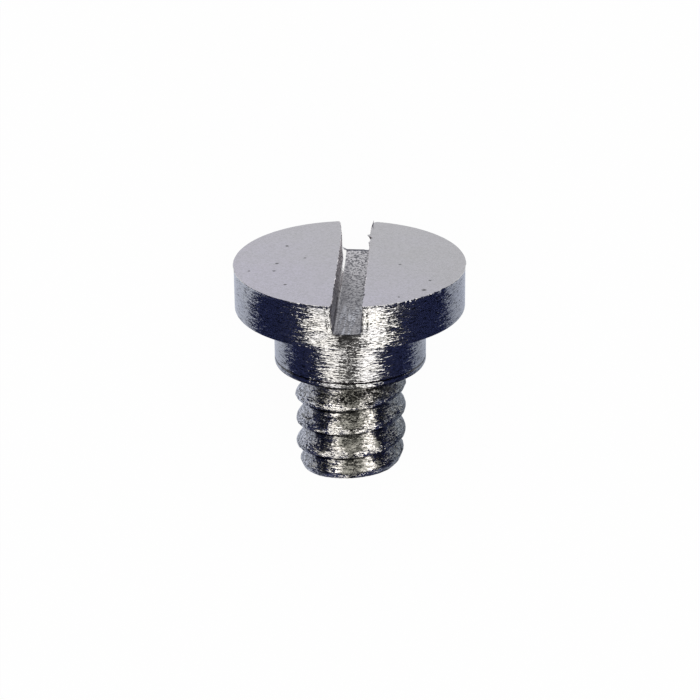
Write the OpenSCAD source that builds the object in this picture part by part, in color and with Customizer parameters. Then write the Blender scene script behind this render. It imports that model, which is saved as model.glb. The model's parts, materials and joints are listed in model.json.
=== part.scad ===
// Watch screw: a wide slotted cheese head, a plain shoulder under it and a fine right-hand thread.
// Millimetres. The screw is drawn upright on its threaded end, then laid on its side as it comes to rest,
// on the edge under its head and on the thread near its end. Its head points along +Y, raised a little,
// +Z is up and z = 0 is the surface that it lies on.

/* [Head] */
// Diameter of the head's turned side
head_d = 2.03; // [1.8:0.01:2.4]
// Height of the head from its underside to its flat top
head_h = 0.398; // [0.34:0.002:0.5]
// How far the thin lip at the top edge stands out past the side
lip_out = 0.008; // [0.002:0.001:0.02]
// Height of the flare that forms the lip
lip_h = 0.022; // [0.01:0.002:0.05]

/* [Driver slot] */
// Width of the slot at the top of the head
slot_w = 0.26; // [0.18:0.01:0.34]
// Width of the slot at its floor, before the corners are rounded
slot_floor_w = 0.246; // [0.17:0.002:0.34]
// Depth of the slot from the top of the head
slot_depth = 0.249; // [0.15:0.002:0.29]
// Radius in the corners along the slot's floor
slot_corner = 0.018; // [0.005:0.001:0.04]
// How far the slot is turned clockwise from the Y direction, seen from above, in degrees
slot_turn = 3.2; // [0:0.1:20]
// How far the slot sits off the middle, towards +X
slot_off = 0.028; // [0:0.002:0.06]

/* [Shoulder] */
// Diameter of the plain shoulder
shoulder_d = 1.346; // [1.15:0.01:1.7]
// Length of the shoulder from the head's underside to the start of the thread
shoulder_l = 0.523; // [0.3:0.005:0.9]
// Bevel round the shoulder's lower edge
shoulder_bevel = 0.012; // [0.004:0.002:0.03]
// Height of the fine turned line above the shoulder's lower edge
line_up = 0.04; // [0.03:0.002:0.1]
// Depth of that line, which is twice as wide as it is deep
line_depth = 0.005; // [0.002:0.001:0.01]

/* [Thread] */
// Diameter over the crests of the thread
thread_d = 0.99; // [0.9:0.005:1.05]
// Distance between neighbouring crests
pitch = 0.2325; // [0.2:0.0025:0.26]
// Depth of the grooves
thread_depth = 0.169; // [0.12:0.001:0.18]
// Width of the narrow flat at the bottom of the grooves
root_w = 0.01; // [0.004:0.001:0.03]
// Length of the thread from the screw's end to the shoulder
thread_l = 1.008; // [0.8:0.005:1.5]
// Where the crest meets the end, in degrees from +X towards +Y
start_turn = 221; // [0:0.2:359]

/* [Threaded end] */
// Diameter of the flat end
end_d = 0.872; // [0.7:0.002:0.9]
// Height over which the crests swell from the end to their full diameter
taper_h = 0.222; // [0.1:0.002:0.5]
// How far the flat end is out of square, in degrees
end_tilt = 4.9; // [0:0.1:8]
// Direction in which more of the end is cut away, in degrees from +X towards +Y
end_turn = 308; // [0:1:359]

/* [Hidden] */
$fn = 96;
steel = [0.62, 0.62, 0.64];
overlap = 0.06;
columns = 72;
lobe_steps = 4;
margin = 0.002;

head_r = head_d/2;
shoulder_r = shoulder_d/2;
thread_r = thread_d/2;
head_z = thread_l + shoulder_l;
top_z = head_z + head_h;
thread_top = thread_l + overlap;

// One pitch of the thread: distance along the screw from the crest, and depth below the crest. The ridges
// are round and full, with a narrow groove between them.
lobe = (pitch - root_w)/2;
section = [for (t = [-lobe_steps:lobe_steps])
    [lobe*t/lobe_steps, thread_depth*(1 - cos(90*t/lobe_steps))]];
count = len(section);

// Each strand k is one point of the section wound round the screw; i counts columns round the screw
function in_turn(k) = k - count*floor(k/count);
function height(k, i) = pitch*(floor(k/count) + i/columns - start_turn/360) + section[in_turn(k)][0];
function depth(k) = section[in_turn(k)][1];
strands = [-2*count : count*(ceil(thread_top/pitch) + 3)];
lows = [for (i = [0:columns - 1]) [for (k = strands) if (height(k, i) > end_z(i) + margin) k][0]];
highs = [for (i = [0:columns - 1]) max([for (k = strands) if (height(k, i) < thread_top - margin) k])];

// The end is a little out of square, and the taper there cuts the crests down
function end_z(i) = end_d/2*tan(end_tilt)*cos(360*i/columns - end_turn);
function taper_r(up) = end_d/2 + (thread_r - end_d/2)*sin(90*min(1, max(0, up)/taper_h));
function between(z, k, i) = (z - height(k, i))/(height(k + 1, i) - height(k, i));
function cut_depth(z, k, i) = depth(k) + (depth(k + 1) - depth(k))*between(z, k, i);
function ring_point(r, z, i) = [r*cos(360*i/columns), r*sin(360*i/columns), z];
function surface_point(z, d, i) = ring_point(min(thread_r - d, taper_r(z - end_z(i))), z, i);
function column(i) = concat(
    [surface_point(end_z(i), cut_depth(end_z(i), lows[i] - 1, i), i)],
    [for (k = [lows[i]:highs[i]]) surface_point(height(k, i), depth(k), i)],
    [surface_point(thread_top, cut_depth(thread_top, highs[i], i), i)]
);
sizes = [for (i = [0:columns - 1]) highs[i] - lows[i] + 3];
firsts = [for (i = 0, a = 0; i < columns; a = a + sizes[i], i = i + 1) a];
total = firsts[columns - 1] + sizes[columns - 1];

thread_points = [for (i = [0:columns - 1]) each column(i)];

// How the screw lies: on the edge under its head and on the thread near its end, with the slot's back end down
function lean_at(p) = atan((head_r - p[1])/(head_z - p[2]));
lean = min([for (p = thread_points) if (p[2] < thread_l) lean_at(p)]);
lift = head_r*cos(lean) - head_z*sin(lean);
front = min([for (p = thread_points) p[1]*sin(lean) + p[2]*cos(lean)]);
back = (head_r + lip_out)*sin(lean) + top_z*cos(lean);

// Point numbers; a strand that leaves the last column comes back one turn higher in the first
function next_column(i) = (i + 1) % columns;
function shift(i) = i + 1 < columns ? 0 : count;
function at(i, k) = firsts[i] + 1 + k - lows[i];
function ahead(i, k) = at(next_column(i), k + shift(i));
function bottom(i) = firsts[i];
function top(i) = firsts[i] + sizes[i] - 1;
function wall(i) = let (j = next_column(i), lo = lows[i], lo2 = lows[j] - shift(i),
                        hi = highs[i], hi2 = highs[j] - shift(i)) concat(
    [for (k = [lo:1:hi2 - 1]) each [[at(i, k), at(i, k + 1), ahead(i, k + 1)],
                                    [at(i, k), ahead(i, k + 1), ahead(i, k)]]],
    [for (k = [lo:-1:lo2 + 1]) [at(i, lo), ahead(i, k), ahead(i, k - 1)]],
    [[at(i, lo), ahead(i, lo2), bottom(j)], [at(i, lo), bottom(j), bottom(i)]],
    [for (k = [hi2:1:hi - 1]) [ahead(i, hi2), at(i, k), at(i, k + 1)]],
    [[ahead(i, hi2), at(i, hi), top(i)], [ahead(i, hi2), top(i), top(j)]],
    [[total, bottom(i), bottom(j)], [total + 1, top(j), top(i)]]
);

module slotted_head() {
    color(steel)
    difference() {
        translate([0, 0, head_z])
        rotate_extrude()
        polygon([
            [0, 0],
            [head_r, 0],
            [head_r, head_h - lip_h],
            [head_r + lip_out, head_h],
            [0, head_h]
        ]);
        driver_slot();
    }
}

module driver_slot() {
    half = slot_w/2;
    low = min(slot_floor_w, slot_w)/2;
    turns = [0:22.5:90];
    translate([0, 0, top_z])
    rotate([90, 0, -slot_turn])
    translate([slot_off, 0, -head_d])
    linear_extrude(height = 2*head_d)
    polygon(concat(
        [[half + (half - low)*0.2, slot_depth*0.2]],
        [for (a = turns) [low - slot_corner + slot_corner*cos(a),
                          slot_corner - slot_depth - slot_corner*sin(a)]],
        [for (a = turns) [slot_corner - low - slot_corner*sin(a),
                          slot_corner - slot_depth - slot_corner*cos(a)]],
        [[-half - (half - low)*0.2, slot_depth*0.2]]
    ));
}

module shoulder() {
    color(steel)
    translate([0, 0, thread_l])
    rotate_extrude()
    polygon([
        [0, 0],
        [shoulder_r - shoulder_bevel, 0],
        [shoulder_r, shoulder_bevel],
        [shoulder_r, line_up - line_depth],
        [shoulder_r - line_depth, line_up],
        [shoulder_r, line_up + line_depth],
        [shoulder_r, shoulder_l + overlap],
        [0, shoulder_l + overlap]
    ]);
}

module thread() {
    color(steel)
    polyhedron(
        points = concat(thread_points, [[0, 0, 0], [0, 0, thread_top]]),
        faces = [for (i = [0:columns - 1]) each wall(i)],
        convexity = 8
    );
}

module screw() {
    translate([0, -(front + back)/2, lift])
    rotate([lean - 90, 0, 0])
    union() {
        slotted_head();
        shoulder();
        thread();
    }
}

screw();
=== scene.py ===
# Watch screw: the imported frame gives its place, this script gives its fine shape, its finish and the light
import json
import math

import bmesh
import bpy
from mathutils import Matrix, Vector, noise
from mathutils.geometry import delaunay_2d_cdt


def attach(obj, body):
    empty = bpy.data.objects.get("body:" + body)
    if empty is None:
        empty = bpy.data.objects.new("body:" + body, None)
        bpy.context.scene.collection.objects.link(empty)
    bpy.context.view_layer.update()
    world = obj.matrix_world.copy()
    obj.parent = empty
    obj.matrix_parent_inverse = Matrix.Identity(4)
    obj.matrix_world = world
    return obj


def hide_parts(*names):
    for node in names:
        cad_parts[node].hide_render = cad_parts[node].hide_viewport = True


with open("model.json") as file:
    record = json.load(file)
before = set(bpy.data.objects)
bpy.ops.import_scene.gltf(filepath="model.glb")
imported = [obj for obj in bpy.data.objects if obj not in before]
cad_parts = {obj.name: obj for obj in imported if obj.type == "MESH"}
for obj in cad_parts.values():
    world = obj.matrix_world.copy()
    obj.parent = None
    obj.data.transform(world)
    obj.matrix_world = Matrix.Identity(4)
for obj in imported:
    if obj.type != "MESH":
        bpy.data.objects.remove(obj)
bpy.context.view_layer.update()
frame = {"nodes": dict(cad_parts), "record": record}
mounts = {mount["name"]: mount for mount in frame["record"]["mounts"]}
print("frame loaded:", ", ".join(frame["nodes"]))

# Sizes are in millimetres, with the screw upright on its threaded end and the camera in front of it, at -y
millimetre = 0.001
head = {
    "radius": 1.015,
    "height": 0.398,
    "lipOut": 0.008,       # the thin lip stands out this far at the top edge
    "lipHeight": 0.022,
    "edgeRound": 0.004,
    "lowRound": 0.008,
    "columns": 250,        # stations round each half of the head, closer together at the front
    "frontShare": 0.5,
    "rows": 12,            # rows from the top edge to the bottom of the slot's walls
    "rowGrowth": 1.6,      # the rows are closer together near the top edge
    "lowRows": 8,
    "topSpacing": 0.05,    # the points inside the top stand this far apart,
    "topShift": 0.3,       # moved aside by up to this share of it
    "topClear": 0.6,       # and clear of the top's edges by this share of it
}
slot = {
    "width": 0.26,
    "floorWidth": 0.246,
    "depth": 0.249,
    "corner": 0.028,
    "cornerSteps": 5,
    "floorSteps": 13,
    "turn": 3.2,           # degrees clockwise from the y direction, seen from above
    "off": 0.028,          # its middle lies this far to the right of the screw's
    "stations": 250,
}
shoulder = {
    "radius": mounts["shoulder"]["dims"]["r_mm"],
    "length": mounts["shoulder"]["dims"]["length_mm"],
    "bevel": 0.016,
    "lineUp": 0.056,       # the fine turned line lies this far above the lower edge
    "lineDepth": 0.007,
    "rows": 18,
    "ledgeRows": 5,
}
thread = {
    "radius": 0.495,
    "pitch": 0.2325,
    "length": 1.008,
    "start": 221,          # where the crest meets the end, in degrees from +x towards +y
    "margin": 0.003,       # no strand comes closer than this to the end or to the shoulder
}
headZ = thread["length"] + shoulder["length"]
topZ = headZ + head["height"]
floorZ = topZ - slot["depth"]
cornerZ = floorZ + slot["corner"]
turnBack = math.radians(slot["turn"])     # the screw is drawn with its slot along y and turned at the end

# The shoulder's mount in the frame tells how the screw lies
upward = -Vector(mounts["shoulder"]["axis"])
across = Vector((1, 0, 0))
behind = upward.cross(across)
middle = Vector(mounts["shoulder"]["pos_m"])
foot = middle - upward * (thread["length"] + shoulder["length"] / 2) * millimetre
turnedDown = Matrix((across, behind, upward)).transposed()
laid = Matrix.Translation(foot) @ turnedDown.to_4x4() @ Matrix.Scale(millimetre, 4)
upright = laid.inverted()
alongSlot = Matrix.Rotation(turnBack, 4, "Z") @ upright

# The mesh is built here as a list of points and a list of faces, each with its finish
points = []
faces = []
finishes = ["polishedTop", "turnedSide", "slotSteel", "threadSteel", "cutEnd"]


def addPoint(x, y, z):
    points.append((x, y, z))
    return len(points) - 1


def addRound(radius, angle, z):
    return addPoint(radius * math.cos(angle), radius * math.sin(angle), z)


# Faces between two rows of points, which are closed to rings or open
def bridge(rowA, rowB, finish, closed=False):
    stations = len(rowA)
    for i in range(stations if closed else stations - 1):
        j = (i + 1) % stations
        faces.append(((rowA[i], rowA[j], rowB[j], rowB[i]), finish))


def bridgeAll(rows, finish):
    for rowA, rowB in zip(rows, rows[1:]):
        bridge(rowA, rowB, finish)


# Layers of smooth noise, each with its size, its scale and its seed
def uneven(x, y, z, layers):
    total = 0
    for size, scale, seed in layers:
        total += size * noise.noise(Vector((x * scale + seed, y * scale - seed, z * scale)))
    return total


# How many degrees an angle lies round from the camera's side
def fromCamera(angle):
    return (math.degrees(angle) - slot["turn"] + 270) % 360 - 180


# How far each end of the slot is worn open at its top and at its floor, over what length and how steeply
mouths = {
    "rightFront": {"top": 0.006, "floor": 0.005, "length": 0.05, "power": 2},
    "rightBack": {"top": 0.045, "floor": 0.012, "length": 0.08, "power": 2},
    "leftFront": {"top": 0.017, "floor": 0.0, "length": 0.1, "power": 2},
    "leftBack": {"top": 0.034, "floor": 0.032, "length": 0.38, "power": 1.15},
}
# Teeth and nicks along the slot's top edges, where y is along the slot and open is how far they widen it
edgeMarks = [
    {"side": 1, "y": 0.66, "open": -0.03, "width": 0.02, "depth": 0.02},
    {"side": 1, "y": 0.6, "open": 0.017, "width": 0.022, "depth": 0.03},
    {"side": 1, "y": 0.49, "open": -0.014, "width": 0.045, "depth": 0.03},
    {"side": 1, "y": 0.8, "open": -0.008, "width": 0.11, "depth": 0.05},
    {"side": 1, "y": -0.56, "open": -0.007, "width": 0.025, "depth": 0.03},
    {"side": 1, "y": -0.74, "open": 0.007, "width": 0.02, "depth": 0.03},
    {"side": -1, "y": 1.0, "open": 0.014, "width": 0.02, "depth": 0.1},
    {"side": -1, "y": -0.62, "open": 0.006, "width": 0.02, "depth": 0.03},
    {"side": -1, "y": -0.36, "open": -0.005, "width": 0.03, "depth": 0.03},
]
# The walls are ragged near their top edges, a little more so on the right, and faintly uneven all over
wallEdge = {"depth": 0.03, "layers": [(0.0045, 22, 3), (0.003, 65, 7)], "rightShare": 1.3}
wallFace = [(0.0012, 40, 11)]
# The floor drops towards its back end, most of all on the right, and over a short lip at its front end
floorFace = [(0.0012, 30, 13)]
floorBack = {"drop": 0.032, "length": 0.1, "rightDrop": 0.02, "rightLength": 0.07, "from": 0.05, "over": 0.03}
floorLip = {"drop": 0.007, "layers": [(0.006, 55, 17)], "length": 0.022}
# Towards the back the slot's left corner runs a little further out along the floor
leftBulge = {"out": 0.051, "from": -0.2, "over": 0.3}


def sideRadius(z):
    flare = max(0.0, z - (topZ - head["lipHeight"])) / head["lipHeight"]
    radius = head["radius"] + head["lipOut"] * flare
    if z > topZ - head["edgeRound"] / 2:
        radius -= head["edgeRound"]
    return radius


def halfSlot(z):
    slope = (slot["width"] - slot["floorWidth"]) / 2 / slot["depth"]
    half = slot["floorWidth"] / 2 + slope * (z - floorZ)
    if z > topZ - head["edgeRound"] / 2:
        half += head["edgeRound"]
    return half


# How far wear has moved a wall of the slot outwards
def wallWear(side, y, z):
    below = topZ - z
    shift = uneven(side, y, z, wallEdge["layers"]) * math.exp(-below / wallEdge["depth"])
    if side > 0:
        shift *= wallEdge["rightShare"]
    shift += uneven(side, y, z, wallFace)
    mouth = mouths[("right" if side > 0 else "left") + ("Back" if y > 0 else "Front")]
    near = max(0, 1 - (head["radius"] - abs(y)) / mouth["length"])
    lower = below / slot["depth"]
    shift += (mouth["top"] * (1 - lower) + mouth["floor"] * lower) * near ** mouth["power"]
    for mark in edgeMarks:
        if mark["side"] == side:
            apart = (y - mark["y"]) / mark["width"]
            shift += mark["open"] * math.exp(-apart ** 2 - below / mark["depth"])
    return shift


# How far wear has lowered the slot's floor
def floorWear(p, y):
    toEnd = head["radius"] - abs(y)
    drop = uneven(p, y, 0, floorFace)
    if y > 0:
        drop += floorBack["drop"] * max(0, 1 - toEnd / floorBack["length"]) ** 2
        atRight = min(1, max(0, (p - floorBack["from"]) / floorBack["over"]))
        drop += floorBack["rightDrop"] * max(0, 1 - toEnd / floorBack["rightLength"]) * atRight
    else:
        ragged = floorLip["drop"] + uneven(p, y, 0, floorLip["layers"])
        drop += ragged * max(0, 1 - toEnd / floorLip["length"]) ** 2
    return drop


# A point p to the right of the slot's middle and z high, at a share of the way from the middle to a mouth
def slotPoint(p, z, share):
    side = 1 if p > 0 else -1
    y = math.sqrt(sideRadius(z) ** 2 - p * p) * share
    if p < 0 and z < cornerZ:
        out = (p + slot["floorWidth"] / 2) / slot["corner"]
        bulge = leftBulge["out"] * out * max(0, 1 - out) * (1 - out)
        p += bulge * min(1, max(0, (y - leftBulge["from"]) / leftBulge["over"]))
    atWall = min(1, max(0, (abs(p) - slot["floorWidth"] / 2 + slot["corner"]) / slot["corner"]))
    atFloor = max(0, 1 - (z - floorZ) / slot["corner"] / 2)
    worn = p + side * atWall * wallWear(side, y, z) + slot["off"]
    low = z - atFloor * floorWear(p, y)
    return addPoint(worn, math.sqrt(sideRadius(z) ** 2 - worn * worn) * share, low)


# Across the slot, from its right top edge down, over the floor and up to its left top edge
def slotProfile():
    drop = topZ - cornerZ
    heights = [topZ - drop * (k / head["rows"]) ** head["rowGrowth"] for k in range(head["rows"] + 1)]
    turns = [math.radians(90 * (k + 1) / slot["cornerSteps"]) for k in range(slot["cornerSteps"])]
    inner = slot["floorWidth"] / 2 - slot["corner"]
    wall = [(halfSlot(z), z) for z in heights]
    bend = [(inner + slot["corner"] * math.cos(a), cornerZ - slot["corner"] * math.sin(a)) for a in turns]
    steps = slot["floorSteps"]
    bottom = [(inner * (1 - 2 * k / steps), floorZ) for k in range(1, steps)]
    leftHalf = [(-p, z) for p, z in reversed(wall + bend)]
    return wall + bend + bottom + leftHalf, len(wall)


# The slot's surface: one row for each point of the profile, from the front mouth to the back mouth
def drawSlot(profile):
    rows = []
    for p, z in profile:
        rows.append([slotPoint(p, z, 2 * s / slot["stations"] - 1) for s in range(slot["stations"] + 1)])
    bridgeAll(rows, "slotSteel")
    return rows


profile, wallCount = slotProfile()
slotRows = drawSlot(profile)
print("slot drawn")

# Nicks in the head's rim: degrees round from the camera's side, width and depth
rimNicks = [
    (27.2, 0.012, 0.008), (29.4, 0.014, 0.012), (32.4, 0.02, 0.013), (36.9, 0.016, 0.01),
    (41.8, 0.014, 0.009), (45.5, 0.02, 0.011), (50.6, 0.034, 0.016), (23.0, 0.01, 0.005),
    (12.5, 0.014, 0.005), (-24.5, 0.012, 0.005), (-35.0, 0.012, 0.006), (-83.5, 0.016, 0.008),
    (84.0, 0.02, 0.01),
]
# How ragged the rim is, and how far down that and its nicks reach
rim = {"layers": [(0.0012, 16, 21), (0.001, 50, 23)], "depth": 0.02, "nickDepth": 0.026}
# Beside each mouth a burr stands up, and a jagged groove runs down a little further off
burr = {"gap": 0.01, "height": 0.0035, "least": 0.4, "layers": [(1.2, 45, 27)]}
groove = {
    "gap": 0.034,
    "wander": [(0.014, 38, 29)],
    "width": 0.006,
    "depth": 0.006,
    "least": 0.15,
    "mean": 0.45,
    "layers": [(1, 24, 35)],
}


# How far wear has moved the head's side outwards, where gap is how far the nearest mouth is
def sideWear(angle, z, gap):
    below = topZ - z
    x, y = math.cos(angle), math.sin(angle)
    shift = uneven(x, y, z, rim["layers"]) * math.exp(-below / rim["depth"])
    for place, width, depth in rimNicks:
        apart = math.radians(fromCamera(angle) - place) * head["radius"]
        shift -= depth * math.exp(-(apart / width) ** 2) * max(0, 1 - below / rim["nickDepth"])
    height = burr["height"] * (burr["least"] + uneven(x, y, z, burr["layers"]))
    shift += height * gap / burr["gap"] * math.exp(1 - gap / burr["gap"])
    apart = (gap - groove["gap"] - uneven(0, y, z, groove["wander"])) / groove["width"]
    share = max(groove["least"], groove["mean"] + uneven(0, y, z, groove["layers"]))
    return shift - groove["depth"] * share * math.exp(-apart ** 2)


# One half of the head's side at one height, anticlockwise between two mouths of the slot
def arc(first, last, z):
    a0 = math.atan2(points[first][1], points[first][0])
    a1 = math.atan2(points[last][1], points[last][0])
    if a1 < a0:
        a1 += 2 * math.pi
    row = [first]
    for c in range(1, head["columns"]):
        share = c / head["columns"]
        if points[first][0] > 0:
            share *= head["frontShare"] + (1 - head["frontShare"]) * share
        else:
            share = 1 - (1 - share) * (1 - (1 - head["frontShare"]) * share)
        a = a0 + (a1 - a0) * share
        gap = min(a - a0, a1 - a) * head["radius"]
        row.append(addRound(sideRadius(z) + sideWear(a, z, gap), a, z))
    return row + [last]


# Both halves of the head's side, from the top edge to where the slot's walls end
def drawSides():
    right, left = [], []
    for k in range(wallCount):
        z = profile[k][1]
        right.append(arc(slotRows[k][0], slotRows[k][-1], z))
        left.append(arc(slotRows[-1 - k][-1], slotRows[-1 - k][0], z))
    bridgeAll(right, "turnedSide")
    bridgeAll(left, "turnedSide")
    return right, left


# One half of the flat top, filled with small triangles between the rim and the slot's edge
def fillTop(rimRow, edgeRow):
    border = rimRow + edgeRow[-2:0:-1]
    flat = [Vector(points[i][:2]) for i in border]
    loop = list(range(len(border)))
    spacing = head["topSpacing"]
    clear = spacing * head["topClear"]
    reach = int(head["radius"] / spacing) + 1
    side = 1 if points[edgeRow[0]][0] > slot["off"] else -1
    inside = []
    for i in range(-reach, reach + 1):
        for j in range(-reach, reach + 1):
            shift = noise.noise_vector(Vector((i * 0.7, j * 0.7, 3)))
            p = (i + head["topShift"] * shift.x) * spacing
            q = (j + head["topShift"] * shift.y) * spacing
            worn = slot["width"] / 2 + wallWear(side, q, topZ) + clear
            if math.hypot(p, q) < head["radius"] - clear and side * (p - slot["off"]) > worn:
                inside.append(Vector((p, q)))
    found = delaunay_2d_cdt(flat + inside, [], [loop], 1, 1e-7)
    numbers = []
    for place, sources in zip(found[0], found[3]):
        if sources and sources[0] < len(border):
            numbers.append(border[sources[0]])
        else:
            numbers.append(addPoint(place.x, place.y, topZ))
    for face in found[2]:
        faces.append((tuple(numbers[i] for i in face), "polishedTop"))


rightRows, leftRows = drawSides()
fillTop(rightRows[0], slotRows[0])
fillTop(leftRows[0], list(reversed(slotRows[-1])))
print("head drawn")

# The ring where the slot's walls end runs on below the slot's two mouths
belowMouth = list(range(wallCount, len(profile) - wallCount))
ring = rightRows[-1] + [slotRows[k][-1] for k in belowMouth]
ring += leftRows[-1] + [slotRows[k][0] for k in reversed(belowMouth)]
angles = [math.atan2(points[i][1], points[i][0]) for i in ring]
for i in range(1, len(angles)):
    while angles[i] < angles[i - 1]:
        angles[i] += 2 * math.pi
columnCount = len(ring)
evenAngles = [angles[0] + 2 * math.pi * i / columnCount for i in range(columnCount)]
ringWear = [(1, 14, 31), (1, 45, 33)]


# A ring of points whose columns are spread evenly as far as even says, and as ragged as ragged says
def ringAt(radius, z, even, ragged):
    row = []
    for angle, evenAngle in zip(angles, evenAngles):
        a = angle + (evenAngle - angle) * even
        row.append(addRound(radius + ragged * uneven(math.cos(a), math.sin(a), z, ringWear), a, z))
    return row


# The head's side below the slot
def drawLowSide(last):
    lowest = headZ + head["lowRound"]
    tops = [points[i][2] for i in ring]
    for k in range(1, head["lowRows"] + 1):
        share = k / head["lowRows"]
        row = [addRound(head["radius"], a, z + (lowest - z) * share) for a, z in zip(angles, tops)]
        bridge(last, row, "turnedSide", True)
        last = row
    return last


# Round the head's lower edge, under the head, down the shoulder, over its turned line and round its bevel.
# Each step has a radius, a height, how evenly its columns are spread and how ragged it is.
def shoulderOutline():
    edge, radius = head["lowRound"], shoulder["radius"]
    bevel, depth = shoulder["bevel"], shoulder["lineDepth"]
    steps = [
        (head["radius"] - edge * 0.3, headZ + edge * 0.3, 0, 0.0006),
        (head["radius"] - edge, headZ, 0, 0.0006),
    ]
    for k in range(1, shoulder["ledgeRows"] + 1):
        share = k / shoulder["ledgeRows"]
        steps.append((head["radius"] + (radius - head["radius"]) * share, headZ, share, 0))
    lineZ = thread["length"] + shoulder["lineUp"]
    for k in range(1, shoulder["rows"] + 1):
        steps.append((radius, headZ - (headZ - lineZ - depth) * k / shoulder["rows"], 1, 0))
    return steps + [
        (radius - depth, lineZ, 1, 0.0015),
        (radius, lineZ - depth, 1, 0.0005),
        (radius, thread["length"] + bevel * 1.3, 1, 0),
        (radius, thread["length"] + bevel, 1, 0.0008),
        (radius - bevel * 0.3, thread["length"] + bevel * 0.3, 1, 0.0012),
        (radius - bevel, thread["length"], 1, 0.0008),
    ]


def drawShoulder(last):
    for radius, z, even, ragged in shoulderOutline():
        row = ringAt(radius, z, even, ragged)
        bridge(last, row, "turnedSide", True)
        last = row
    return last


shoulderFoot = drawShoulder(drawLowSide(ring))
print("shoulder drawn")

# One ridge and one groove of the thread: distance above the crest and depth below it. The ridge falls away
# steeply under its crest and more gently above it, and the groove is round.
threadSection = [
    (-0.052, 0.094), (-0.041, 0.092), (-0.033, 0.079), (-0.026, 0.047), (-0.018, 0.017), (-0.01, 0.004),
    (0.0, 0.0), (0.013, 0.002), (0.026, 0.007), (0.039, 0.0145), (0.052, 0.023), (0.065, 0.032),
    (0.078, 0.0415), (0.091, 0.0515), (0.105, 0.062), (0.119, 0.072), (0.136, 0.083), (0.157, 0.091),
]
threadWear = {"layers": [(0.0045, 7, 41), (0.0028, 20, 43), (0.0014, 55, 47)], "inward": 0.0015}
# The end is a little out of square, and the taper there cuts the crests down
end = {
    "radius": 0.436,
    "taper": 0.222,
    "tilt": 4.9,
    "turn": 308,
    "rings": (0.985, 0.96, 0.85, 0.65, 0.4, 0.18),
}


# A strand is one point of the section wound round the screw; strands are numbered from the bottom up
def strandHeight(k, angle):
    turns = k // len(threadSection) + (math.degrees(angle - turnBack) - thread["start"]) / 360
    return thread["pitch"] * turns + threadSection[k % len(threadSection)][0]


def strandDepth(k):
    return threadSection[k % len(threadSection)][1]


def depthBetween(k, z, angle):
    low = strandHeight(k, angle)
    share = (z - low) / (strandHeight(k + 1, angle) - low)
    return strandDepth(k) + (strandDepth(k + 1) - strandDepth(k)) * share


def endHeight(angle, radius):
    direction = turnBack + math.radians(end["turn"])
    return radius * math.tan(math.radians(end["tilt"])) * math.cos(angle - direction)


def threadRadius(depth, z, angle):
    rise = min(1, max(0, z - endHeight(angle, end["radius"])) / end["taper"])
    limit = end["radius"] + (thread["radius"] - end["radius"]) * math.sin(math.pi / 2 * rise)
    radius = min(thread["radius"] - depth, limit)
    x, y = radius * math.cos(angle), radius * math.sin(angle)
    return radius + uneven(x, y, z, threadWear["layers"]) - threadWear["inward"]


# The thread's points up one side, from the end to just under the shoulder
def threadColumn(angle):
    footZ = endHeight(angle, end["radius"])
    k = int((footZ / thread["pitch"] - 3) * len(threadSection))
    while strandHeight(k, angle) <= footZ + thread["margin"]:
        k += 1
    footRadius = threadRadius(depthBetween(k - 1, footZ, angle), footZ, angle)
    column = {"first": k, "foot": addRound(footRadius, angle, footZ), "strands": []}
    while strandHeight(k, angle) < thread["length"] - thread["margin"]:
        z = strandHeight(k, angle)
        column["strands"].append(addRound(threadRadius(strandDepth(k), z, angle), angle, z))
        k += 1
    column["topRadius"] = thread["radius"] - depthBetween(k - 1, thread["length"], angle)
    return column


# The shoulder's lower face runs in to the thread, whose radius changes round the screw
def drawLedge(last, columns):
    outer = shoulder["radius"] - shoulder["bevel"]
    for k in range(1, shoulder["ledgeRows"] + 1):
        row = []
        for angle, column in zip(evenAngles, columns):
            radius = outer + (column["topRadius"] - outer) * k / shoulder["ledgeRows"]
            row.append(addRound(radius, angle, thread["length"]))
        bridge(last, row, "turnedSide", True)
        last = row
    return last


# The faces between each column and the next, where a strand comes back one ridge higher after a turn
def drawThread(columns, ledge):
    for i, column in enumerate(columns):
        j = (i + 1) % columnCount
        other = columns[j]
        low = column["first"]
        high = low + len(column["strands"]) - 1
        low2 = other["first"] - (len(threadSection) if j == 0 else 0)
        high2 = low2 + len(other["strands"]) - 1
        here = {low + n: index for n, index in enumerate(column["strands"])}
        there = {low2 + n: index for n, index in enumerate(other["strands"])}
        bottom, top = max(low, low2), min(high, high2)
        found = [(here[k], there[k], there[k + 1], here[k + 1]) for k in range(bottom, top)]
        found += [(here[k], there[bottom], here[k + 1]) for k in range(low, bottom)]
        found += [(here[bottom], there[k], there[k + 1]) for k in range(low2, bottom)]
        found += [(here[k], there[top], here[k + 1]) for k in range(top, high)]
        found += [(here[top], there[k], there[k + 1]) for k in range(top, high2)]
        found += [(column["foot"], other["foot"], there[low2], here[low])]
        found += [(here[high], there[high2], ledge[j], ledge[i])]
        faces.extend((face, "threadSteel") for face in found)


def drawEnd(columns):
    edge = [column["foot"] for column in columns]
    last = edge
    for share in end["rings"]:
        row = []
        for angle, corner in zip(evenAngles, edge):
            radius = math.hypot(points[corner][0], points[corner][1]) * share
            row.append(addRound(radius, angle, endHeight(angle, radius)))
        bridge(last, row, "cutEnd", True)
        last = row
    centre = addPoint(0, 0, 0)
    for i in range(columnCount):
        faces.append(((last[i], last[(i + 1) % columnCount], centre), "cutEnd"))


threadColumns = [threadColumn(angle) for angle in evenAngles]
drawThread(threadColumns, drawLedge(shoulderFoot, threadColumns))
drawEnd(threadColumns)
print("thread drawn")

# A thin splinter that the slot's cutter left standing at the back of its right edge
splinter = {
    "foot": (0.134, 0.875, -0.006),
    "tip": (0.146, 0.948, 0.04),
    "width": 0.016,
    "sides": [(1, 0, 0), (0, 0.5, 0.8), (-1, 0, 0), (0, -0.5, -0.8)],
}


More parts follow.
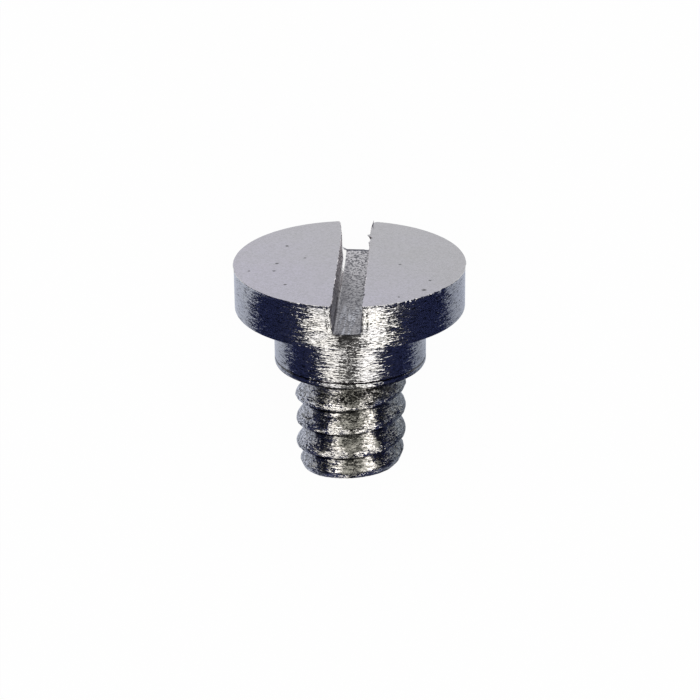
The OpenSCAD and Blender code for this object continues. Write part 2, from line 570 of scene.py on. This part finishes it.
def drawSplinter():
    x, y, z = splinter["foot"]
    half = splinter["width"] / 2
    corners = []
    for outX, outY, outZ in splinter["sides"]:
        corners.append(addPoint(slot["off"] + x + outX * half, y + outY * half, topZ + z + outZ * half))
    x, y, z = splinter["tip"]
    tip = addPoint(slot["off"] + x, y, topZ + z)
    faces.append((tuple(corners), "slotSteel"))
    for n in range(len(corners)):
        faces.append(((corners[n], corners[(n + 1) % len(corners)], tip), "slotSteel"))


drawSplinter()
print("screw drawn:", len(points), "points,", len(faces), "faces")


# Short ways to build shader nodes, whose inputs are given as sockets or as plain values
def feed(tree, node, inputs):
    for name, value in inputs.items():
        if isinstance(value, bpy.types.NodeSocket):
            tree.links.new(value, node.inputs[name])
        else:
            node.inputs[name].default_value = value


def add(tree, kind, inputs, **settings):
    node = tree.nodes.new("ShaderNode" + kind)
    for name, value in settings.items():
        setattr(node, name, value)
    feed(tree, node, inputs)
    return node


def calc(tree, operation, a, b=0.0):
    return add(tree, "Math", {0: a, 1: b}, operation=operation).outputs[0]


def product(tree, first, *others):
    for other in others:
        first = calc(tree, "MULTIPLY", first, other)
    return first


def largest(tree, first, *others):
    for other in others:
        first = calc(tree, "MAXIMUM", first, other)
    return first


def distance(tree, a, b):
    return calc(tree, "ABSOLUTE", calc(tree, "SUBTRACT", a, b))


def remap(tree, value, low, high, newLow=0.0, newHigh=1.0):
    inputs = {"Value": value, "From Min": low, "From Max": high, "To Min": newLow, "To Max": newHigh}
    return add(tree, "MapRange", inputs).outputs[0]


def blend(tree, share, colourA, colourB):
    return add(tree, "Mix", {0: share, 6: colourA, 7: colourB}, data_type="RGBA").outputs[2]


# A place in the material in the screw's own upright millimetres
def placeOn(tree, matrix):
    location, turn, size = matrix.decompose()
    spot = add(tree, "TexCoord", {}).outputs["Object"]
    inputs = {"Vector": spot, "Location": location, "Rotation": turn.to_euler(), "Scale": size}
    return add(tree, "Mapping", inputs).outputs[0]


def axesOf(tree, spot):
    return add(tree, "SeparateXYZ", {"Vector": spot}).outputs


def cloudNode(tree, spot, scale, detail=3.0, roughness=0.5):
    stretched = add(tree, "Mapping", {"Vector": spot, "Scale": scale}).outputs[0]
    inputs = {"Vector": stretched, "Scale": 1.0, "Detail": detail, "Roughness": roughness}
    return add(tree, "TexNoise", inputs).outputs


def clouds(tree, spot, scale, detail=3.0, roughness=0.5):
    return cloudNode(tree, spot, scale, detail, roughness)[0]


# Clouds spread over the span from low to high
def swing(tree, cloud, low, high):
    return remap(tree, cloud, 0.3, 0.7, low, high)


def scaled(tree, vector, size):
    return add(tree, "VectorMath", {0: vector, "Scale": size}, operation="SCALE").outputs[0]


# A vector that wanders about nought with a noise's colour
def wander(tree, colour, amount):
    middling = add(tree, "VectorMath", {0: colour, 1: (0.5, 0.5, 0.5)}, operation="SUBTRACT").outputs[0]
    return scaled(tree, middling, amount)


# The surface's normal, tilted by one or more such vectors
def tilted(tree, *tilts):
    total = add(tree, "NewGeometry", {}).outputs["Normal"]
    for tilt in tilts:
        total = add(tree, "VectorMath", {0: total, 1: tilt}, operation="ADD").outputs[0]
    return add(tree, "VectorMath", {0: total}, operation="NORMALIZE").outputs[0]


def newGroup(name, inputs, outputs):
    group = bpy.data.node_groups.new(name, "ShaderNodeTree")
    for label, value in inputs.items():
        socket = group.interface.new_socket(label, in_out="INPUT", socket_type="NodeSocketFloat")
        socket.default_value = value
    for label, kind in outputs.items():
        group.interface.new_socket(label, in_out="OUTPUT", socket_type="NodeSocket" + kind)
    return group, group.nodes.new("NodeGroupInput").outputs, group.nodes.new("NodeGroupOutput").inputs


def useGroup(tree, group, values):
    return add(tree, "Group", values, node_tree=group).outputs


def newMaterial(name):
    material = bpy.data.materials.new(name)
    material.use_nodes = True
    tree = material.node_tree
    return material, tree, tree.nodes["Principled BSDF"]


# A material's surface is mixed from two shaders, where share is how much of the second shows
def mixSurface(tree, share, first, second):
    mix = add(tree, "MixShader", {0: share, 1: first.outputs[0], 2: second.outputs[0]})
    tree.links.new(mix.outputs[0], tree.nodes["Material Output"].inputs["Surface"])


# Steel is all metal unless metallic is given lower
def setSteel(tree, shader, colour, roughness, normal, metallic=1):
    inputs = {"Base Color": colour, "Metallic": metallic, "Roughness": roughness, "Normal": normal}
    feed(tree, shader, inputs)


# Fine marks that run round the screw, left by the lathe: rings, short dashes and specks. Tilts are slopes.
def makeTurnedMarks():
    inputs = {"Dash Tilt": 0.7, "Speck Tilt": 0.5, "Ring Tilt": 0.3, "Wave Tilt": 0.0}
    group, taken, given = newGroup("turnedMarks", inputs, {"Normal": "Vector", "Grains": "Float"})
    spot = placeOn(group, upright)
    dashes = cloudNode(group, spot, (10, 10, 145), 3, 0.65)
    specks = cloudNode(group, spot, (48, 48, 110), 1, 0.5)
    waves = cloudNode(group, spot, (7, 7, 12), 2, 0.5)
    rings = calc(group, "SUBTRACT", clouds(group, spot, (1.5, 1.5, 60), 2, 0.5), 0.5)
    ringed = scaled(group, tuple(upward), product(group, rings, taken["Ring Tilt"]))
    dashed = wander(group, dashes["Color"], taken["Dash Tilt"])
    specked = wander(group, specks["Color"], taken["Speck Tilt"])
    waved = wander(group, waves["Color"], taken["Wave Tilt"])
    group.links.new(tilted(group, dashed, specked, ringed, waved), given["Normal"])
    group.links.new(swing(group, specks[0], 0, 1), given["Grains"])
    return group


# An even grain without a direction, as on a sawn or tarnished surface
def makeEvenGrain():
    inputs = {"Tilt": 0.3, "Size": 0.02}
    group, taken, given = newGroup("evenGrain", inputs, {"Normal": "Vector", "Grains": "Float"})
    scale = calc(group, "DIVIDE", 1.0, taken["Size"])
    inputs = {"Vector": placeOn(group, upright), "Scale": scale, "Detail": 1.5, "Roughness": 0.6}
    grains = add(group, "TexNoise", inputs).outputs
    group.links.new(tilted(group, wander(group, grains["Color"], taken["Tilt"])), given["Normal"])
    group.links.new(swing(group, grains[0], 0, 1), given["Grains"])
    return group


turnedMarks = makeTurnedMarks()
evenGrain = makeEvenGrain()

# Pits in the polished top: their places across and along it and their length, and how far their edges wander
pitMarks = [
    (-0.634, -0.016, 0.016), (-0.554, -0.504, 0.014), (-0.391, 0.108, 0.012), (0.441, -0.067, 0.012),
    (0.69, -0.444, 0.013), (0.632, -0.657, 0.02), (0.416, -0.807, 0.012), (-0.555, 0.403, 0.016),
    (-0.656, -0.191, 0.014), (-0.873, -0.186, 0.012),
]
pitWander = 0.016


def makePits():
    group, taken, given = newGroup("pits", {"Size": 1.3}, {"Pits": "Float"})
    spot = placeOn(group, upright)
    bent = scaled(group, cloudNode(group, spot, (60, 60, 60), 2)["Color"], pitWander)
    spot = add(group, "VectorMath", {0: spot, 1: bent}, operation="ADD").outputs[0]
    found = []
    for x, y, length in pitMarks:
        centre = (x + pitWander / 2, y + pitWander / 2, topZ)
        away = add(group, "VectorMath", {0: spot, 1: centre}, operation="SUBTRACT").outputs[0]
        flat = add(group, "VectorMath", {0: away, 1: (1, 1, 0)}, operation="MULTIPLY").outputs[0]
        far = add(group, "VectorMath", {0: flat}, operation="LENGTH").outputs["Value"]
        found.append(remap(group, far, product(group, taken["Size"], length), length * 0.6))
    group.links.new(largest(group, *found), given["Pits"])
    return group


pits = makePits()

# The flat top is polished to an even grey, a little bluer at the front, with a faint grain, stains and pits
topFinish = {
    "back": (0.425, 0.421, 0.45, 1),
    "front": (0.455, 0.44, 0.52, 1),
    "grain": (0.28, 0.28, 0.29, 1),
    "pit": (0.06, 0.06, 0.07, 1),
    "roughness": 0.24,
}


def makePolishedTop():
    material, tree, shader = newMaterial("polishedTop")
    spot = placeOn(tree, upright)
    axes = axesOf(tree, spot)
    grain = useGroup(tree, evenGrain, {"Tilt": 0.02, "Size": 0.02})
    stains = swing(tree, clouds(tree, spot, (1.6, 1.6, 1.6), 4, 0.6), -0.25, 0.25)
    toFront = remap(tree, calc(tree, "ADD", axes["Y"], axes["X"]), 0.9, -1.2)
    plain = blend(tree, calc(tree, "ADD", toFront, stains), topFinish["back"], topFinish["front"])
    grained = blend(tree, remap(tree, grain["Grains"], 0.25, 0.9, 0, 0.4), plain, topFinish["grain"])
    pitted = blend(tree, useGroup(tree, pits, {})["Pits"], grained, topFinish["pit"])
    setSteel(tree, shader, pitted, topFinish["roughness"], grain["Normal"])
    return material


# The turned side and shoulder are bright, with rings and grains that catch the lamps. They carry painted
# shade: dark in the turned line, round the bevel, on the lip under the slot's front mouth and on the patch
# below it.
sideFinish = {
    "bright": (0.6, 0.59, 0.56, 1),
    "grey": (0.5, 0.5, 0.51, 1),
    "speck": (0.1, 0.1, 0.09, 1),
    # the painted shade of the turned line, the bevel and the places under the slot's front mouth
    "dark": (0.03, 0.03, 0.035, 1),
    "roughness": (0.1, 0.18),
    "dashes": (0.78, 1.0),         # their tilt on the head and on the shoulder
}


# How much painted shade lies in the turned line and round the bevel, at a height that wobbles a little
def paintedRingShade(tree, height, wobble):
    lineZ = thread["length"] + shoulder["lineUp"]
    toLine = calc(tree, "ADD", distance(tree, height, lineZ), product(tree, wobble, 0.7))
    line = remap(tree, toLine, 0.011, 0.007, 0, 0.9)
    bevelZ = thread["length"] + shoulder["bevel"]
    bevel = remap(tree, calc(tree, "ADD", height, wobble), bevelZ + 0.002, bevelZ - 0.004, 0, 0.9)
    return largest(tree, line, bevel)


# How much painted shade lies on the lip under the slot's front mouth and on the patch below it
def paintedMouthShade(tree, height, wobble, aside):
    below = calc(tree, "SUBTRACT", floorZ, calc(tree, "ADD", height, product(tree, wobble, 1.5)))
    within = remap(tree, distance(tree, aside, slot["off"]), 0.13, 0.115, 0, 0.9)
    lip = product(tree, remap(tree, below, 0.02, 0.012), remap(tree, below, -0.03, -0.028), within)
    near = remap(tree, distance(tree, aside, slot["off"] - 0.01), 0.11, 0.05, 0, 0.65)
    mouthPatchShade = product(tree, remap(tree, below, 0.15, 0.03), remap(tree, below, -0.01, 0.01), near)
    return largest(tree, lip, mouthPatchShade)


def makeTurnedSide():
    material, tree, shader = newMaterial("turnedSide")
    spot = placeOn(tree, upright)
    height = axesOf(tree, spot)["Z"]
    aside = axesOf(tree, placeOn(tree, alongSlot))["X"]
    onShoulder = remap(tree, height, headZ + 0.01, headZ - 0.01)
    dashes = remap(tree, onShoulder, 0, 1, *sideFinish["dashes"])
    marks = useGroup(tree, turnedMarks, {"Dash Tilt": dashes, "Speck Tilt": 0.45, "Ring Tilt": 0.5})
    specks = remap(tree, clouds(tree, spot, (18, 18, 110), 3, 0.65), 0.55, 0.63)
    worn = clouds(tree, spot, (3, 3, 6), 4, 0.6)
    plain = blend(tree, swing(tree, worn, 0, 1), sideFinish["bright"], sideFinish["grey"])
    plain = blend(tree, specks, plain, sideFinish["speck"])
    wobble = swing(tree, clouds(tree, spot, (30, 30, 30), 3), -0.006, 0.006)
    dark = largest(tree, paintedRingShade(tree, height, wobble), paintedMouthShade(tree, height, wobble, aside))
    roughness = swing(tree, worn, *sideFinish["roughness"])
    setSteel(tree, shader, blend(tree, dark, plain, sideFinish["dark"]), roughness, marks["Normal"])
    return material


# The slot is sawn: matte and grainy, with streaks along it towards its front. The corner under its left wall
# has kept a bright shine. The back of that wall is painted matte and nearly white, a painted reflection, and
# the floor's back end is painted dark, a painted shade.
slotFinish = {
    "front": (0.33, 0.33, 0.355, 1),
    "back": (0.58, 0.57, 0.6, 1),
    "streak": (0.56, 0.58, 0.64, 1),
    # near white, which the wall's matte back shows as a painted reflection
    "wall": (1.0, 0.95, 0.98, 1),
    "wallPatch": (0.75, 0.72, 0.76, 1),
    "speck": (0.1, 0.1, 0.12, 1),
    "shine": (0.95, 0.94, 0.93, 1),
    # the painted shade at the floor's back end, which also darkens what stands above the top
    "dark": (0.03, 0.03, 0.06, 1),
    "roughness": (0.4, 0.12),      # of the sawn steel and of the shine
    "tilts": (0.7, 0.12),
    "grain": 0.019,
}


def makeSlotSteel():
    material, tree, shader = newMaterial("slotSteel")
    look = slotFinish
    spot = placeOn(tree, alongSlot)
    axes = axesOf(tree, spot)
    along, height = axes["Y"], axes["Z"]
    wall = remap(tree, height, cornerZ, cornerZ + 0.02)
    front = remap(tree, along, -0.2, -0.75)
    ragged = calc(tree, "ADD", along, swing(tree, clouds(tree, spot, (12, 12, 12), 3), -0.35, 0.35))
    overFloor = remap(tree, height, floorZ + 0.001, floorZ + 0.004)
    underWall = remap(tree, height, floorZ + 0.038, floorZ + 0.03)
    atLeft = remap(tree, axes["X"], slot["off"] - 0.07, slot["off"] - 0.08)
    shine = product(tree, overFloor, underWall, atLeft, remap(tree, ragged, -0.15, 0.05))
    tilt = remap(tree, shine, 0, 1, *look["tilts"])
    grain = useGroup(tree, evenGrain, {"Tilt": tilt, "Size": look["grain"]})

    streaks = clouds(tree, spot, (45, 3, 45), 3, 0.5)
    mottle = remap(tree, clouds(tree, spot, (40, 12, 40), 3), 0.4, 0.6)
    sawn = blend(tree, remap(tree, along, -0.2, 0.7), look["front"], look["back"])
    sawn = blend(tree, wall, sawn, blend(tree, mottle, look["wall"], look["wallPatch"]))
    sawn = blend(tree, product(tree, remap(tree, streaks, 0.5, 0.6), front), sawn, look["streak"])
    specks = product(tree, remap(tree, grain["Grains"], 0.46, 0.64), remap(tree, front, 0, 1, 1, 0.9))
    plain = blend(tree, shine, blend(tree, specks, sawn, look["speck"]), look["shine"])
    # Painted shade where the floor ends at the back
    toBack = remap(tree, calc(tree, "ADD", along, swing(tree, streaks, -0.012, 0.012)), 0.9, 0.912)
    backEndShade = product(tree, toBack, remap(tree, height, floorZ + 0.02, floorZ + 0.012, 0, 0.95))
    standing = remap(tree, height, topZ + 0.001, topZ + 0.004, 0, 0.85)
    dark = largest(tree, backEndShade, standing)
    colour = blend(tree, dark, plain, look["dark"])

    # Painted reflection: towards the back the wall turns matte and keeps its near white, so that it shows
    # bright
    dull = product(tree, wall, remap(tree, ragged, 0.0, 0.25))
    metallic = remap(tree, dull, 0, 1, 1, 0.2)
    roughness = calc(tree, "ADD", remap(tree, shine, 0, 1, *look["roughness"]), product(tree, dull, 0.4))
    setSteel(tree, shader, colour, roughness, grain["Normal"], metallic)
    return material


# The thread is tarnished in patches and pitted at its sides. It carries painted light and shade: lighter on
# its left, darker on its right, painted highlights in a stretch on each side of its middle, widest and
# brightest on the crests, painted shade beside them and under each ridge, and it is darker in a band towards
# each side.
threadFinish = {
    "clean": (0.88, 0.85, 0.8, 1),
    # painted shade on the right side and painted light on the left
    "right": (0.46, 0.47, 0.45, 1),
    "left": (1.0, 0.98, 0.95, 1),
    "tarnish": (0.2, 0.2, 0.17, 1),
    # the painted highlight on the crests
    "rubbed": (1.0, 0.98, 0.93, 1),
    # the painted shade beside the highlights
    "dull": (0.14, 0.14, 0.12, 1),
    "inner": (0.07, 0.07, 0.08, 1),
    "pit": (0.08, 0.08, 0.08, 1),
    # the painted shade under each ridge
    "under": (0.02, 0.02, 0.02, 1),
    "roughness": (0.18, 0.3),      # where it is clean and where it is tarnished
    "stretches": (-0.15, 0.165),   # how far the middles of the painted highlights lie to the right
}


# How far above the crest a place lies, from nought to the pitch
def aboveCrest(tree, axes):
    turn = calc(tree, "DIVIDE", calc(tree, "ARCTAN2", axes["Y"], axes["X"]), 2 * math.pi)
    turns = calc(tree, "SUBTRACT", calc(tree, "DIVIDE", axes["Z"], thread["pitch"]), turn)
    share = calc(tree, "FRACT", calc(tree, "ADD", turns, 2 + thread["start"] / 360))
    return product(tree, share, thread["pitch"])


# How much painted shade the thread gets beside the painted highlights
def beyondHighlights(tree, spot, side, rise):
    reach = remap(tree, rise, 0.025, 0.06, 0.125, 0.05)
    ragged = swing(tree, clouds(tree, spot, (14, 14, 40), 3, 0.6), -0.05, 0.05)
    nearest = calc(tree, "MINIMUM", *(distance(tree, side, x) for x in threadFinish["stretches"]))
    beyond = calc(tree, "SUBTRACT", calc(tree, "ADD", nearest, ragged), reach)
    return remap(tree, beyond, -0.02, 0.025, 0, 0.88)


def makeThreadSteel():
    material, tree, shader = newMaterial("threadSteel")
    look = threadFinish
    spot = placeOn(tree, upright)
    axes = axesOf(tree, spot)
    side = axes["X"]
    wobble = swing(tree, clouds(tree, spot, (9, 9, 9), 3), -0.008, 0.008)
    rise = calc(tree, "ADD", aboveCrest(tree, axes), wobble)
    aside = calc(tree, "ABSOLUTE", side)
    edge = remap(tree, aside, 0.25, 0.45)
    crest = product(tree, remap(tree, rise, 0.052, 0.042), remap(tree, aside, 0.35, 0.3))
    upper = remap(tree, axes["Z"], 0.75, 0.83)
    tilts = {
        "Dash Tilt": remap(tree, crest, 0, 1, 1.0, 2.1),
        "Speck Tilt": remap(tree, largest(tree, edge, crest, product(tree, upper, 0.7)), 0, 1, 0.6, 1.6),
        "Ring Tilt": 0.5,
        "Wave Tilt": remap(tree, crest, 0, 1, 0.8, 2.3),
    }
    marks = useGroup(tree, turnedMarks, tilts)

    tarnish = remap(tree, clouds(tree, spot, (18, 18, 50), 5, 0.68), 0.47, 0.62)
    # Painted light and shade: darker towards the right side, lighter towards the left
    worn = blend(tree, remap(tree, side, 0.15, 0.4), look["clean"], look["right"])
    worn = blend(tree, remap(tree, side, -0.25, -0.42), worn, look["left"])
    worn = blend(tree, product(tree, tarnish, 0.85), worn, look["tarnish"])
    # A painted highlight on the crests in two stretches, and painted shade beside them
    dull = beyondHighlights(tree, spot, side, calc(tree, "ADD", rise, wobble))
    rubbed = product(tree, crest, remap(tree, dull, 0.3, 0.0, 0, 0.75))
    worn = blend(tree, rubbed, worn, look["rubbed"])
    worn = blend(tree, product(tree, dull, remap(tree, aside, 0.32, 0.26)), worn, look["dull"])
    inner = product(tree, remap(tree, aside, 0.18, 0.26), remap(tree, aside, 0.43, 0.37),
                    remap(tree, rise, 0.03, 0.05, 0, 0.3))
    worn = blend(tree, inner, worn, look["inner"])
    pitting = product(tree, remap(tree, marks["Grains"], 0.42, 0.7), remap(tree, edge, 0, 1, 0.2, 0.92))
    worn = blend(tree, pitting, worn, look["pit"])
    # Painted shade in the groove under each ridge
    under = product(tree, remap(tree, rise, 0.155, 0.165), remap(tree, rise, 0.224, 0.218))
    colour = blend(tree, under, worn, look["under"])
    roughness = calc(tree, "ADD", remap(tree, tarnish, 0, 1, *look["roughness"]), product(tree, upper, 0.1))
    setSteel(tree, shader, colour, roughness, marks["Normal"])
    return material


endFinish = {"light": (0.42, 0.42, 0.42, 1), "dark": (0.3, 0.29, 0.27, 1), "roughness": 0.35}


def makeCutEnd():
    material, tree, shader = newMaterial("cutEnd")
    grain = useGroup(tree, evenGrain, {"Tilt": 0.2, "Size": 0.03})
    inputs = {"Vector": placeOn(tree, upright), "Scale": 12.0, "Distortion": 2.0}
    rings = add(tree, "TexWave", inputs, wave_type="RINGS", rings_direction="Z").outputs[0]
    colour = blend(tree, rings, endFinish["light"], endFinish["dark"])
    setSteel(tree, shader, colour, endFinish["roughness"], grain["Normal"])
    return material


makers = {
    "polishedTop": makePolishedTop,
    "turnedSide": makeTurnedSide,
    "slotSteel": makeSlotSteel,
    "threadSteel": makeThreadSteel,
    "cutEnd": makeCutEnd,
}
sharpEdge = 35             # edges that bend more than this stay sharp, in degrees


def addObject(name, data):
    added = bpy.data.objects.new(name, data)
    bpy.context.collection.objects.link(added)
    return added


def makeScrew(name):
    mesh = bpy.data.meshes.new(name)
    mesh.from_pydata(points, [], [face for face, finish in faces])
    for finish in finishes:
        mesh.materials.append(makers[finish]())
    mesh.polygons.foreach_set("material_index", [finishes.index(finish) for face, finish in faces])
    work = bmesh.new()
    work.from_mesh(mesh)
    bmesh.ops.recalc_face_normals(work, faces=work.faces)
    work.to_mesh(mesh)
    work.free()
    mesh.transform(Matrix.Rotation(-turnBack, 4, "Z"))
    mesh.transform(laid)
    mesh.polygons.foreach_set("use_smooth", [True] * len(mesh.polygons))
    mesh.set_sharp_from_angle(angle=math.radians(sharpEdge))
    return addObject(name, mesh)


screw = makeScrew("shoulder_screw")
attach(screw, "root")
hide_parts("screw")
print("screw made")

# The camera stands where the photograph was taken from, above the plane square to the screw
view = {
    "elevation": 23.81,
    "distance": 21.251,
    "aim": Vector((-0.00269, 0, 1.08776)),
    "roll": -0.55,
    "lens": 122.79,
    "clipStart": 0.001,    # in metres, as is clipEnd
    "clipEnd": 3.0,
}


def makeCamera():
    rise = math.radians(view["elevation"])
    backward = Vector((0, -math.cos(rise), math.sin(rise)))
    facing = Matrix((across, backward.cross(across), backward)).transposed()
    data = bpy.data.cameras.new("camera")
    data.lens = view["lens"]
    data.clip_start = view["clipStart"]
    data.clip_end = view["clipEnd"]
    camera = addObject("camera", data)
    turned = turnedDown @ facing @ Matrix.Rotation(math.radians(view["roll"]), 3, "Z")
    place = laid @ (view["aim"] + backward * view["distance"])
    camera.matrix_world = Matrix.Translation(place) @ turned.to_4x4()
    bpy.context.scene.camera = camera


makeCamera()

# Two soft lamps on each side of the camera as the screw sees it, one above the other. Their places are in
# degrees to the right and up, and their sizes and distance in metres.
lamps = {
    "distance": 0.4,
    "places": {
        "lampLeft": {"turn": -27.5, "rise": -34, "radiance": 1.95, "width": 0.13, "height": 0.44},
        "lampRight": {"turn": 25.5, "rise": -34, "radiance": 2.4, "width": 0.13, "height": 0.44},
        "lampLeftUpper": {"turn": -34, "rise": 40, "radiance": 2.0, "width": 0.17, "height": 0.74},
        "lampRightUpper": {"turn": 29, "rise": 40, "radiance": 2.0, "width": 0.17, "height": 0.74},
    },
    "colour": (1.0, 0.975, 0.955),
}


def makeLamp(name, turn, rise, radiance, width, height):
    a, e = math.radians(turn), math.radians(rise)
    towards = turnedDown @ Vector((math.cos(e) * math.sin(a), -math.cos(e) * math.cos(a), math.sin(e)))
    tall = turnedDown @ Vector((-math.sin(e) * math.sin(a), math.sin(e) * math.cos(a), math.cos(e)))
    data = bpy.data.lights.new(name, "AREA")
    data.shape = "RECTANGLE"
    data.size = width
    data.size_y = height
    data.energy = radiance * math.pi * width * height
    data.color = lamps["colour"]
    lamp = addObject(name, data)
    turnTo = Matrix((tall.cross(towards), tall, towards)).transposed()
    lamp.matrix_world = Matrix.Translation(middle + towards * lamps["distance"]) @ turnTo.to_4x4()


for name, settings in lamps["places"].items():
    makeLamp(name, **settings)

# Dark cards stand beside the screw and lie in front of it, seen only in its polish. Their edges follow two
# planes through the screw's axis, so that the polish is dark up to one line down each side.
cards = {
    "away": 4.2,
    "height": 4.6,
    "front": -40.0,
    "edge": 101,           # degrees round from the camera's side
    "above": 0.004,
    "colour": (0.014, 0.024, 0.11, 1),
    "roughness": 0.9,
}


# How far back the cards' edge lies at x to the side and z above the floor, on the plane through the axis
def edgePlace(x, z):
    turn = math.radians(cards["edge"])
    out = turnedDown @ Vector((math.sin(turn), -math.cos(turn), 0))
    reach = abs(x) * millimetre / out.x
    rise = (z * millimetre - foot.z - reach * out.z) / upward.z
    return foot.y / millimetre + (reach * out.y + rise * upward.y) / millimetre


def makePanels(name, meshName, corners, panels, material):
    mesh = bpy.data.meshes.new(meshName)
    mesh.from_pydata([[c * millimetre for c in corner] for corner in corners], [], panels)
    mesh.materials.append(material)
    return addObject(name, mesh)


def seenInPolish(piece):
    piece.visible_camera = False
    piece.visible_diffuse = False
    piece.visible_shadow = False
    piece.visible_transmission = False


def makeCards():
    far, top, front, low = cards["away"], cards["height"], cards["front"], cards["above"]
    corners = [(0, front, low), (0, edgePlace(0, low), low)]
    panels = []
    for x in (-far, far):
        n = len(corners)
        corners += [(x, edgePlace(x, low), low), (x, front, low)]
        corners += [(x, edgePlace(x, top), top), (x, front, top)]
        panels += [(0, 1, n, n + 1), (n, n + 2, n + 3, n + 1)]
    material, tree, shader = newMaterial("navyCard")
    feed(tree, shader, {"Base Color": cards["colour"], "Roughness": cards["roughness"]})
    seenInPolish(makePanels("dark_cards", "darkCards", corners, panels, material))


makeCards()

# A blue veil on the floor beside the screw dims what its sides mirror, most of all next to the dark cards
# and towards the thread
veil = {
    "away": 4.0,
    "back": 1.0,
    "fade": 0.4,
    "above": 0.002,
    "leftNear": (0.64, 0.68, 0.8, 1),
    "leftFar": (0.72, 0.76, 0.89, 1),
    "rightNear": (0.42, 0.46, 0.54, 1),
    "rightFar": (0.65, 0.69, 0.81, 1),
    "none": (1, 1, 1, 1),
    "leftShade": 0.35,
    "rightShade": 0.5,
    "shade": (0.1, 0.13, 0.24, 1),
}


def makeVeil():
    near, far, back, low = edgePlace(0, 0), veil["away"], veil["back"], veil["above"]
    corners = [(-far, near, low), (far, near, low), (far, back, low), (-far, back, low)]
    material, tree, shader = newMaterial("blueVeil")
    axes = axesOf(tree, placeOn(tree, Matrix.Scale(1 / millimetre, 4)))
    widest = math.atan2(1, edgePlace(1, 0) - near)
    along = calc(tree, "SUBTRACT", axes["Y"], near)
    turn = calc(tree, "ARCTAN2", calc(tree, "ABSOLUTE", axes["X"]), along)
    side = remap(tree, axes["X"], -0.2, 0.2)
    fade = remap(tree, axes["Y"], back, back - veil["fade"])
    towardsHead = remap(tree, axes["Y"], -0.6, 0.5)
    left = blend(tree, towardsHead, veil["leftNear"], veil["leftFar"])
    right = blend(tree, towardsHead, veil["rightNear"], veil["rightFar"])
    tint = blend(tree, fade, veil["none"], blend(tree, side, left, right))
    shade = remap(tree, side, 0, 1, veil["leftShade"], veil["rightShade"])
    strength = product(tree, remap(tree, turn, widest * 0.25, widest), shade, fade)
    feed(tree, shader, {"Base Color": veil["shade"]})
    mixSurface(tree, strength, add(tree, "BsdfTransparent", {"Color": tint}), shader)
    seenInPolish(makePanels("blue_veil", "blueVeil", corners, [(0, 1, 2, 3)], material))


makeVeil()
print("lamps, cards and veil set")

# A pale floor, much of whose paleness is its own, so that the shadow stays soft
floor = {"size": 400, "colour": (0.92, 0.92, 0.93, 1), "roughness": 0.8, "ownShare": 0.97}


def makeFloor():
    s = floor["size"]
    corners = [(-s, -s, 0), (s, -s, 0), (s, s, 0), (-s, s, 0)]
    material, tree, shader = newMaterial("paleFloor")
    feed(tree, shader, {"Base Color": floor["colour"], "Roughness": floor["roughness"]})
    path = add(tree, "LightPath", {}).outputs
    seen = largest(tree, path["Is Camera Ray"], path["Is Glossy Ray"], path["Is Transmission Ray"])
    share = product(tree, seen, floor["ownShare"])
    mixSurface(tree, share, shader, add(tree, "Emission", {}))
    ground = makePanels("floor", "floor", corners, [(0, 1, 2, 3)], material)


makeFloor()

surroundings = (0.1, 0.1, 0.1, 1)
world = bpy.data.worlds.new("studio")
world.use_nodes = True
world.node_tree.nodes["Background"].inputs["Color"].default_value = surroundings
bpy.context.scene.world = world
bpy.context.scene.view_settings.view_transform = "Standard"
print("floor and world set")
